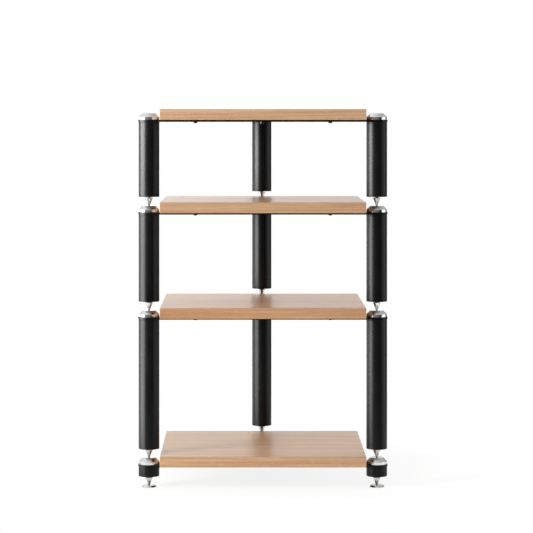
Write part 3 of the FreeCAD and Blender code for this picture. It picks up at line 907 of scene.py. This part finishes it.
def brightness_in_gloss(tree, x, y, z):
    """How bright the studio looks to the gloss, by a ray's direction: x right, y away from the lens, z up."""
    # the backdrop is palest near the horizon, and falls off upwards and to the right
    level = math_node(tree, "ADD", z, fade(tree, x, *BACKDROP_TILT))
    backdrop = fade(tree, level, BACKDROP_HEIGHT, BACKDROP, "SMOOTHSTEP")
    backdrop = multiply(tree, fade(tree, y, BACKDROP_REAR, ALL), backdrop)
    backdrop = multiply(tree, fade(tree, x, *BACKDROP_RIGHT), backdrop)
    ceiling = fade(tree, x, CEILING_WIDTH, CEILING)
    ceiling = multiply(tree, fade(tree, z, CEILING_EDGE, ALL), ceiling)
    ground = fade(tree, z, GROUND_EDGE, GROUND)
    right = fade(tree, x, RIGHT_SCREEN_EDGE, RIGHT_SCREEN)
    right = multiply(tree, fade(tree, y, *RIGHT_SCREEN_REAR), right)
    # the left is brightest below the horizon, where the caps' sides and the shelves' ends face it
    lean = math_node(tree, "MULTIPLY_ADD", z, LEFT_SCREEN_LEAN, x)
    left = fade(tree, lean, LEFT_SCREEN_EDGE, LEFT_SCREEN)
    left = multiply(tree, fade(tree, z, *LEFT_SCREEN_TOP), left)
    # the room behind the lens is dim, and darkest to the right
    room = fade(tree, x, ROOM_WIDTH, ROOM)
    room = multiply(tree, fade(tree, x, *ROOM_RIGHT), room)
    return largest(tree, backdrop, ceiling, right, left, ground, room)


def studio():
    """White to the lens, soft even light for the object, and bright screens in a dim room for the gloss."""
    world = bpy.data.worlds.new("studio")
    bpy.context.scene.world = world
    tree = node_tree(world)
    path = add(tree, "LightPath").outputs
    x, y, z = split(tree, add(tree, "TexCoord").outputs["Generated"])
    gloss = add(tree, "Background", WHITE, brightness_in_gloss(tree, x, y, z)).outputs[0]
    light = add(tree, "Background", WHITE, fade(tree, x, (-1.0, 1.0), EVEN_LIGHT)).outputs[0]
    white = add(tree, "Background", WHITE, 1.0).outputs[0]
    lit = add(tree, "MixShader", path["Is Glossy Ray"], light, gloss).outputs[0]
    clear = largest(tree, path["Is Camera Ray"], path["Is Transmission Ray"])
    add(tree, "OutputWorld", add(tree, "MixShader", clear, lit, white).outputs[0])


def lamp(name, place, towards, size, watts, finish=None):
    """A rectangular soft lamp that faces a point: for light, or for the gloss of one kind of finish."""
    light = bpy.data.lights.new(name, "AREA")
    light.shape = "RECTANGLE"
    light.size, light.size_y = size
    light.energy = watts
    made = bpy.data.objects.new(name, light)
    bpy.context.scene.collection.objects.link(made)
    made.location = place
    aim = [b - a for a, b in zip(place, towards)]
    made.rotation_euler = (math.atan2(math.hypot(aim[0], aim[1]), -aim[2]), 0.0, math.atan2(-aim[0], aim[1]))
    made.visible_camera = False
    made.visible_glossy = finish is not None
    made.visible_diffuse = finish is None
    if finish:
        reached = bpy.data.collections.new(name)
        for other in bpy.context.scene.objects:
            if other.type == "MESH" and other.data.materials and finish in other.data.materials[0].name:
                reached.objects.link(other)
        made.light_linking.receiver_collection = reached


def lamps():
    # tall soft boxes on the left draw the bright band down each column. They are too strong for chrome and
    # oak, and the oak has a weaker one of its own
    for name, (place, towards, size, watts, finish) in GLOSS_LAMPS.items():
        lamp(name, place, towards, size, watts, finish)
    # the light that shapes the object comes mostly from the left, and from above the lens
    for name, (place, size, watts) in SOFT_LAMPS.items():
        lamp(name, place, LIT_POINT, size, watts)


def camera():
    lens = bpy.data.cameras.new("camera")
    made = bpy.data.objects.new("camera", lens)
    bpy.context.scene.collection.objects.link(made)
    lens.sensor_width = SENSOR
    lens.lens = FOCAL_PIXELS / PICTURE * SENSOR
    lens.shift_x = (PICTURE / 2 - AXIS_PIXEL[0]) / PICTURE
    lens.shift_y = -(PICTURE / 2 - AXIS_PIXEL[1]) / PICTURE
    made.location = CAMERA_PLACE
    made.rotation_euler = (math.pi / 2, 0.0, 0.0)
    lens.clip_end = CAMERA_REACH
    bpy.context.scene.camera = made


looks = finishes()
turned_pieces(looks)
paint_nodes(looks)
floor()
studio()
lamps()
camera()
bpy.context.scene.view_settings.view_transform = "Standard"
